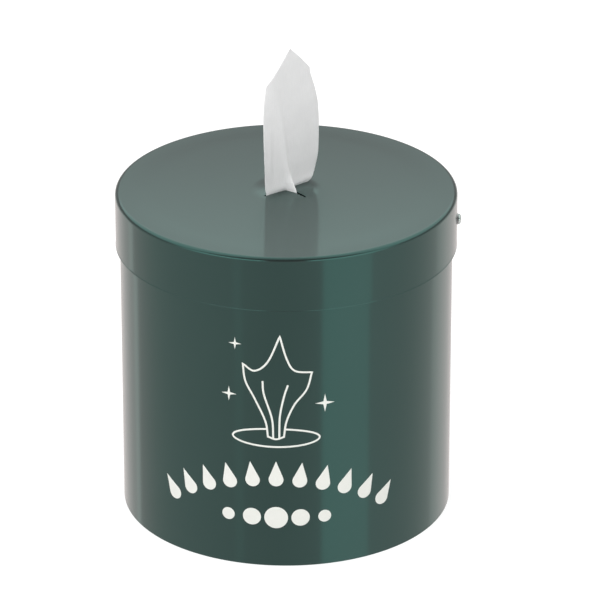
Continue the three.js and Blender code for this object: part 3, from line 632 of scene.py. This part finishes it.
def soft_nonwoven():
    """Spunlace wipe: white and matt, with fine lengthwise fibres and a small emboss along the cloth."""
    material = bpy.data.materials.new("soft_nonwoven")
    material.use_nodes = True
    tree = material.node_tree
    cloth = tree.nodes["Principled BSDF"]
    cloth.inputs["Sheen Weight"].default_value = 0.25
    cloth.inputs["Sheen Roughness"].default_value = 0.4
    cloth.inputs["Specular IOR Level"].default_value = 0.3
    place = node(tree, "ShaderNodeUVMap", uv_map="cloth").outputs[0]
    long_way = node(tree, "ShaderNodeMapping", {"Vector": place, "Scale": (900.0, 160.0, 1.0)}).outputs[0]
    fibre = node(tree, "ShaderNodeTexNoise", {"Vector": long_way, "Scale": 1.0, "Detail": 4.0}).outputs[0]
    emboss = {"Vector": place, "Scale": 620.0, "Randomness": 0.25}
    dots = node(tree, "ShaderNodeTexVoronoi", emboss).outputs[0]
    cloud = node(tree, "ShaderNodeTexNoise", {"Vector": place, "Scale": 45.0, "Detail": 3.0}).outputs[0]
    weave = node(tree, "ShaderNodeMath", {0: dots, 1: 0.5, 2: fibre}, operation="MULTIPLY_ADD").outputs[0]
    share = node(tree, "ShaderNodeMath", {0: weave, 1: cloud}, operation="MULTIPLY").outputs[0]
    tone = node(tree, "ShaderNodeMix", {0: ranged(tree, share, 0.1, 0.6, 0, 1, "LINEAR")}, data_type="RGBA")
    tone.inputs[6].default_value = (0.79, 0.79, 0.79, 1)
    tone.inputs[7].default_value = (0.86, 0.86, 0.86, 1)
    tree.links.new(tone.outputs[2], cloth.inputs["Base Color"])
    tree.links.new(ranged(tree, fibre, 0.3, 0.7, 0.78, 0.95, "LINEAR"), cloth.inputs["Roughness"])
    relief = node(tree, "ShaderNodeBump", {"Strength": 0.25, "Distance": 0.00012, "Height": weave}).outputs[0]
    tree.links.new(relief, cloth.inputs["Normal"])
    return material


def cloth_sheet(name, points, flat, thickness, body, cad_node):
    """A sheet on a grid of points, with a map of its flat lengths for the weave, and its thickness."""
    rows, columns = points.shape[:2]
    faces = grid_faces(rows, columns)
    piece = surface(name, points.reshape(-1, 3), faces, soft_cloth, body, cad_node, flat=flat)
    solid = piece.modifiers.new("thickness", "SOLIDIFY")
    solid.thickness = thickness / 1000
    solid.offset = 0
    return piece


soft_cloth = soft_nonwoven()
across = np.linspace(0, 1, 241)
rising = np.linspace(0, 1, 120)[:, None]
open_up = eased_step(0, 0.7, rising)
girth = 3.2 + 4.6 * open_up
angle = np.radians(344) * across + np.radians(95) * (1 - rising) ** 1.5
angle = angle + 0.25 * np.sin(3 * rising + 5 * across)
pleat = girth * (0.56 + 0.44 * np.cos(2 * np.pi * PLEATS * across + 2.2 * rising))
pleat *= 1 - 0.12 * np.sin(2 * np.pi * across * 2 + 4 * rising)
lean = -(ROLL_CORE - 5.2) * (1 - eased_step(0, 0.75, rising))
climb = NEXT_FOOT + (NEXT_TOP - NEXT_FOOT) * rising + 0 * angle
points = np.stack([pleat * np.cos(angle) + lean, pleat * np.sin(angle), climb], -1)
flat = np.stack(np.broadcast_arrays(across * 108, rising * 100), -1)
next_wipe = cloth_sheet("next_wipe_rope", points, flat, NEXT_THICKNESS, "can", "next_wipe")


# The cap: a deep round lid spun from 1 mm sheet and enamelled with the can. A cross is cut through its
# middle, and drawing wipes through it has bent the four tabs up a little, the front one least.
CAP_SHEET = 1.0
SKIRT_HEIGHT = 43.3
EDGE_RADIUS = 3.0
SLIT_LENGTH = 22.2
SLIT_HALF_WIDTH = 0.75
DOME_RISE = 0.25
TAB_REACH = 27.0
TAB_RISES = (1.3, 0.9, 0.7, 0.25)
TAB_STEPS = 73
FLARE = 0.17
FLARE_DEPTH = 1.3


def cap_rise(radius, swing, tab):
    """Height over the flat cap: a very low dome, and near the cut a bell as high as each tab is bent."""
    bell = np.clip(1 - (radius / TAB_REACH) ** 2, 0, 1) ** 2
    around = (swing / (np.pi / 2)) % 4
    low_tab = np.floor(around).astype(int) % 4
    blend = eased_step(0, 1, around - np.floor(around))
    rises = np.array(TAB_RISES)
    between = rises[low_tab] * (1 - blend) + rises[(low_tab + 1) % 4] * blend
    own = eased_step(SLIT_LENGTH - 5, SLIT_LENGTH, radius)
    dome = DOME_RISE * np.clip(1 - (radius / CAP_RADIUS) ** 2, 0, 1)
    dome = dome * eased_step(CAP_RADIUS, CAP_RADIUS - 30, radius)
    return dome + bell * (rises[tab] * (1 - own) + between * own)


end = SLIT_LENGTH - SLIT_HALF_WIDTH
round_end = SLIT_LENGTH - SLIT_HALF_WIDTH * (1 - np.sin(np.linspace(0.25, np.pi / 2, 7)))
flat_reach = np.concatenate([
    [1.35], np.linspace(1.9, end, 22), round_end, np.linspace(SLIT_LENGTH + 0.6, 31, 10),
    np.linspace(33.5, 123, 34), [125, 126.4, CAP_RADIUS - EDGE_RADIUS - 0.3],
])
edge = np.radians(np.linspace(0, 90, 13))
edge_reach = CAP_RADIUS - EDGE_RADIUS + EDGE_RADIUS * np.sin(edge)
edge_drop = EDGE_RADIUS * (1 - np.cos(edge))
skirt_drop = np.concatenate([
    [EDGE_RADIUS + 0.3], np.linspace(EDGE_RADIUS + 2, SKIRT_HEIGHT - 1.6, 12),
    SKIRT_HEIGHT - np.linspace(FLARE_DEPTH, 0, 8),
])
flare = FLARE * eased_step(SKIRT_HEIGHT - FLARE_DEPTH, SKIRT_HEIGHT - 0.2, skirt_drop)
reach = np.concatenate([flat_reach, edge_reach, CAP_RADIUS + flare])
fall = np.concatenate([0 * flat_reach, edge_drop, skirt_drop])
half_gap = SLIT_HALF_WIDTH + 0.35 * np.clip(1 - reach / 12, 0, 1)
half_gap = np.where(reach > end, np.sqrt(np.clip(SLIT_HALF_WIDTH**2 - (reach - end) ** 2, 0, None)), half_gap)
half_gap = np.where(reach >= SLIT_LENGTH - 1e-6, 0, half_gap)
gap_angle = np.arcsin(np.clip(half_gap / reach, 0, 0.7))
tabs = []
for tab in range(4):
    swing = tab * np.pi / 2 + np.linspace(-1, 1, TAB_STEPS)[:, None] * (np.pi / 4 - gap_angle)
    lift = cap_rise(reach + 0 * swing, swing, tab)
    tabs.append(np.stack([reach * np.cos(swing), reach * np.sin(swing), CAP_TOP - fall + lift], -1))
columns = len(reach)
faces = np.concatenate([grid_faces(TAB_STEPS, columns, first=k * TAB_STEPS * columns) for k in range(4)])
cap = surface("cap_shell", np.concatenate([tab.reshape(-1, 3) for tab in tabs]), faces, enamel, "cap", "lid")
solid = cap.modifiers.new("thickness", "SOLIDIFY")
solid.thickness = CAP_SHEET / 1000
solid.offset = -1
edge_round = cap.modifiers.new("edge", "BEVEL")
edge_round.width = 0.00022
edge_round.segments = 2
edge_round.limit_method = "ANGLE"
edge_round.angle_limit = np.radians(50)


# The lock: an M4 pan-head screw, half way down the skirt, with a washer under its head and a clinched nut
# behind. Turned in, its tip bears on the can wall. All three are zinc plated, and the head has caught enamel.
SCREW_HEIGHT = 235.05
WASHER_FACE = CAP_RADIUS + 0.1
WASHER_BORE = 2.1
WASHER_RADIUS = 4.3
WASHER_THICKNESS = 0.5
HEAD_SEAT = CAP_RADIUS + 0.7
HEAD_RADIUS = 3.9
HEAD_HEIGHT = 2.4
HEAD_RIM = 0.5
RECESS_REACH = 2.1
RECESS_HALF_WIDTH = 0.42
RECESS_DEPTH = 1.4


def screw_enamel():
    """Bright screw with a thin film of the can's enamel: grey-green metal, lighter where it is rubbed."""
    material = bpy.data.materials.new("screw_enamel")
    material.use_nodes = True
    tree = material.node_tree
    metal = tree.nodes["Principled BSDF"]
    metal.inputs["Metallic"].default_value = 0.85
    place = node(tree, "ShaderNodeTexCoord").outputs["Object"]
    rubbed = node(tree, "ShaderNodeTexNoise", {"Vector": place, "Scale": 700.0, "Detail": 4.0}).outputs[0]
    tone = node(tree, "ShaderNodeMix", {0: ranged(tree, rubbed, 0.35, 0.65, 0, 1)}, data_type="RGBA")
    tone.inputs[6].default_value = (0.36, 0.47, 0.44, 1)
    tone.inputs[7].default_value = (0.72, 0.77, 0.75, 1)
    tree.links.new(tone.outputs[2], metal.inputs["Base Color"])
    tree.links.new(ranged(tree, rubbed, 0.3, 0.7, 0.22, 0.36, "LINEAR"), metal.inputs["Roughness"])
    return material


def lathe_piece(name, outline, rounding, material, body, cad_node):
    """A small turned part: a closed outline with rounded corners, carried round the screw's axis."""
    outline = fillet(outline, rounding, 3, 0.1)
    points = pointed_out(turned(outline, SMALL_ROUND), 0, SCREW_HEIGHT)
    faces = grid_faces(len(SMALL_ROUND), len(outline), True, True)
    return surface(name, points.reshape(-1, 3), faces, material, body, cad_node)


nut_outline = [(1.98, 127.7), (4, 127.7), (4, 129.0), (2.9, 129.0), (2.9, 130.1), (1.98, 130.1)]
nut = lathe_piece("clinched_nut", nut_outline, 0.15, zinc, "cap", "lock_nut")
washer_outline = [
    (WASHER_BORE, WASHER_FACE), (WASHER_RADIUS, WASHER_FACE),
    (WASHER_RADIUS, WASHER_FACE + WASHER_THICKNESS), (WASHER_BORE, WASHER_FACE + WASHER_THICKNESS),
]
washer = lathe_piece("plain_washer", washer_outline, 0.1, zinc, "washer", "lock_washer")

dome = np.linspace(0, 1, 40)
head_reach = HEAD_RADIUS * np.sin(dome * np.pi / 2)
head_rise = HEAD_SEAT + HEAD_RIM + (HEAD_HEIGHT - HEAD_RIM) * np.cos(dome * np.pi / 2) ** 0.8
shank = np.array([
    (HEAD_RADIUS, HEAD_SEAT + 0.2), (HEAD_RADIUS - 0.15, HEAD_SEAT), (1.9, HEAD_SEAT), (1.9, 128.2),
    (1.5, 127.4), (0, 127.4),
])
screw_outline = np.concatenate([np.column_stack([head_reach, head_rise]), shank])
fine_round = np.arange(120) * 2 * np.pi / 120
points = turned(screw_outline, fine_round)
flat_x, flat_y = np.abs(points[..., 0]), np.abs(points[..., 1])
arm = np.minimum(
    np.maximum(flat_x / RECESS_REACH, flat_y / RECESS_HALF_WIDTH),
    np.maximum(flat_y / RECESS_REACH, flat_x / RECESS_HALF_WIDTH),
)
on_head = points[..., 2] > HEAD_SEAT + HEAD_RIM
points[..., 2] -= on_head * RECESS_DEPTH * (1 - eased_step(0.75, 1.1, arm))
faces = grid_faces(len(fine_round), len(screw_outline), True, False)
points = pointed_out(points, 0, SCREW_HEIGHT).reshape(-1, 3)
screw = surface("pan_head_screw", points, faces, screw_enamel(), "screw", "lock_screw")


# The wipe in use: a sheet drawn up through the cross by its corner. A deep fold runs down each side, into the
# front left slit and the back right one. A short pleat comes out of the front right slit, and the two cut
# edges hang folded behind.
WIPE_TIP = 113.6
WIPE_FOOT = -16.6
WIPE_HALF_WIDTH = 75.0
CORNER_SLOPES = (1.065, 0.934, 1.07)
SHOULDER = 8.4
WIPE_THICKNESS = 0.32

# Each row is a height over the cap, then the folds of the level section there, from the left cut edge to the
# right one: (length towards the back right slit, length towards the front right slit).
FOLDS = {
    -17: [
        (-0.9, -3), (-0.4, -8), (-1.2, -0.9), (-8.5, 0), (-1.2, 0.9), (0, 8),
        (1.2, 0.9), (8.5, 0), (1.2, -0.9), (0.4, -8), (0.9, -3),
    ],
    -3: [
        (-1.1, -3), (-0.5, -13), (-1.8, -0.7), (-20, 0), (-1.8, 0.7), (0, 11.8),
        (1.8, 0.7), (20, 0), (1.8, -0.7), (0.5, -13), (1.1, -3),
    ],
    0: [
        (-1.2, -3), (-0.6, -14), (-2.2, -0.9), (-21.7, 0), (-2.6, 1.5), (0, 12.9),
        (2.6, 1.4), (22.0, 0.2), (2.4, -1), (0.6, -14), (1.3, -3),
    ],
    2.2: [
        (-2.5, -4), (-0.9, -15), (-2.6, -1.6), (-21.9, 0), (-3.2, 3.8), (-0.1, 12.0),
        (4.4, 3.4), (25.2, 2.0), (3, -1.9), (0.9, -15), (2.5, -4),
    ],
    8: [
        (-4.5, -4.5), (-1.3, -16), (-2.8, -2.2), (-22.5, 0), (-4.6, 3.4), (-0.7, 8.6),
        (3.2, 2.8), (29.4, 0.9), (3.6, -3), (1.4, -16), (4.6, -5),
    ],
    13: [
        (-5.7, -5), (-1.7, -16), (-3, -2.9), (-22.8, 0), (-6.2, 3.0), (-1.3, 6.4),
        (1.8, 2.2), (31.4, 0.6), (4.1, -4.1), (1.9, -17), (6.2, -6),
    ],
    19: [
        (-6.5, -5.2), (-2.1, -16), (-3, -3.3), (-23.2, 0), (-7.4, 2.4), (-2.0, 4.6),
        (0.9, 1.7), (32.6, 0.3), (4.5, -4.8), (2.4, -17), (7.2, -6.6),
    ],
    30: [
        (-7.5, -5.5), (-2.5, -15), (-3, -3.8), (-23.6, 0), (-9, 2.0), (-3.4, 3.4),
        (-0.4, 1.5), (33.6, 0), (5, -5.5), (3, -17), (8.5, -7.5),
    ],
    46: [
        (-8, -7), (-3.5, -14), (-4, -4.8), (-23.8, 0), (-11, 1.7), (-5.1, 2.6),
        (-2.2, 1.3), (34.0, 0), (6, -6), (4.5, -15), (9, -8),
    ],
    66: [
        (-8, -7), (-3.8, -13), (-4, -5), (-23.4, 0), (-13, 1.3), (-7.8, 1.9),
        (-5.2, 1.2), (33.6, 0), (6, -6), (5, -14), (9, -8),
    ],
    77: [
        (-8, -7), (-4, -12), (-4, -5), (-22.4, 0), (-13.6, 1.2), (-8.8, 1.6),
        (-6.4, 1.2), (31.0, 0), (6, -6), (5, -13), (9, -8),
    ],
    86: [
        (-8, -7), (-4, -12), (-4, -5), (-21.0, 0), (-14, 1.1), (-9.5, 1.3),
        (-7.2, 1.1), (27.9, 0), (6, -6), (5, -12), (9, -8),
    ],
    91: [
        (-8, -7), (-4, -12), (-4, -5), (-19.6, 0), (-14, 1.0), (-9.6, 1.2),
        (-7.4, 1.1), (25.0, 0), (6, -6), (5, -12), (9, -8),
    ],
    114: [
        (-8, -7), (-4, -12), (-4, -5), (-19, 0), (-14, 1.0), (-9.6, 1.1),
        (-7.4, 1.1), (24.5, 0), (6, -6), (5, -12), (9, -8),
    ],
}

# Height over the cap, then how far right of the middle fold the sheet's middle line runs there.
TIP_OFFSETS = [
    (-17, 0), (2.2, 0), (8, 1.6), (19, 4.6), (30, 6.6), (46, 8.8), (66, 11.6), (86, 13.4), (114, 13.4)]
FOLD_STEPS = 200
LEFT_FOLD, MIDDLE_FOLD, RIGHT_FOLD, LAST_FOLD = 3, 5, 7, 10


def softened(line, spread):
    """Weighted mean of each point and its neighbours along the second axis, with a bell-shaped weight."""
    span = int(3 * spread) + 1
    weight = np.exp(-0.5 * (np.arange(-span, span + 1) / spread) ** 2)
    padded = np.pad(line, ((0, 0), (span, span), (0, 0)), mode="edge")
    parts = [w * padded[:, k:k + line.shape[1]] for k, w in enumerate(weight)]
    return sum(parts) / weight.sum()


def wipe_table(rises, lengths):
    """Level sections by height: straight runs between folds, softened, read by length from the tip's line."""
    keys = np.array(sorted(FOLDS))
    folds = np.array([FOLDS[key] for key in keys])
    at_rise = np.stack([
        [np.interp(rises, keys, folds[:, k, axis]) for axis in (0, 1)] for k in range(LAST_FOLD + 1)])
    at_rise = at_rise.transpose(2, 0, 1)
    share = np.linspace(0, LAST_FOLD, LAST_FOLD * FOLD_STEPS + 1)
    low = np.minimum(share.astype(int), LAST_FOLD - 1)
    part = (share - low)[None, :, None]
    line = at_rise[:, low] * (1 - part) + at_rise[:, low + 1] * part
    line = softened(line, 12.0)
    step = np.linalg.norm(np.diff(line, axis=1), axis=2)
    run = np.concatenate([np.zeros((len(rises), 1)), np.cumsum(step, 1)], 1)
    middle_run = run[:, MIDDLE_FOLD * FOLD_STEPS][:, None]
    run = run - middle_run - np.interp(rises, *np.transpose(TIP_OFFSETS))[:, None]
    rows = []
    for k in range(len(rises)):
        left_fold, right_fold = run[k, LEFT_FOLD * FOLD_STEPS], run[k, RIGHT_FOLD * FOLD_STEPS]
        ends = [max(run[k, 0], -WIPE_HALF_WIDTH), left_fold, right_fold, min(run[k, -1], WIPE_HALF_WIDTH)]
        wanted = np.interp(lengths, [-WIPE_HALF_WIDTH, left_fold, right_fold, WIPE_HALF_WIDTH], ends)
        rows.append(np.column_stack([np.interp(wanted, run[k], line[k, :, axis]) for axis in (0, 1)]))
    return np.array(rows)


rises = np.linspace(WIPE_FOOT, WIPE_TIP, 400)
lengths = np.linspace(-WIPE_HALF_WIDTH, WIPE_HALF_WIDTH, 421)
table = wipe_table(rises, lengths)
table = table.transpose(1, 0, 2)
near, far = softened(table, 4.0), softened(table, 16.0)
table = (near + (far - near) * eased_step(5, 14, rises)[None, :, None]).transpose(1, 0, 2)
width = np.linspace(-WIPE_HALF_WIDTH, WIPE_HALF_WIDTH, 251)
left_slope, first_slope, right_slope = CORNER_SLOPES
corner = np.minimum(width, SHOULDER) * first_slope + np.maximum(width - SHOULDER, 0) * right_slope
corner = np.where(width < 0, -width * left_slope, corner)
depth = WIPE_TIP - WIPE_FOOT
down = np.linspace(0, 1, 150)[:, None] ** 1.05
fallen = corner + (depth - corner) * down
rise = WIPE_TIP - fallen
row = np.clip((rise - rises[0]) / (rises[1] - rises[0]), 0, len(rises) - 1.001)
column = np.broadcast_to((width - lengths[0]) / (lengths[1] - lengths[0]), row.shape)
column = np.clip(column, 0, len(lengths) - 1.001)
r0, c0 = row.astype(int), column.astype(int)
fr, fc = (row - r0)[..., None], (column - c0)[..., None]
plan = (table[r0, c0] * (1 - fr) * (1 - fc) + table[r0 + 1, c0] * fr * (1 - fc)
        + table[r0, c0 + 1] * (1 - fr) * fc + table[r0 + 1, c0 + 1] * fr * fc)
along, front = plan[..., 0], plan[..., 1]
fade = eased_step(4, 22, rise)
ripple = 0.35 * np.exp(-(((along + 17.5) / 1.6) ** 2)) * eased_step(75, 30, rise)
ripple -= 0.3 * np.exp(-(((along + 13.8) / 1.8) ** 2)) * eased_step(70, 20, rise)
ripple += 0.3 * np.sin(along / 5.2 + rise / 31 + 0.6) * fade
ripple += 0.8 * np.sin(rise / 26 + 0.4) * fade * eased_step(115, 70, rise)
front = front + ripple * (0.25 + 0.75 * fade)
# The slits stand at 45 degrees to the can's front, and the sections turn with them.
turned_share = np.sqrt(0.5)
points = np.stack([(along + front) * turned_share, (along - front) * turned_share, CAP_TOP + rise], -1)
flat = np.stack(np.broadcast_arrays(width + WIPE_HALF_WIDTH, fallen), -1)
wipe = cloth_sheet("drawn_wipe", points, flat, WIPE_THICKNESS, "cap", "pulled_wipe")
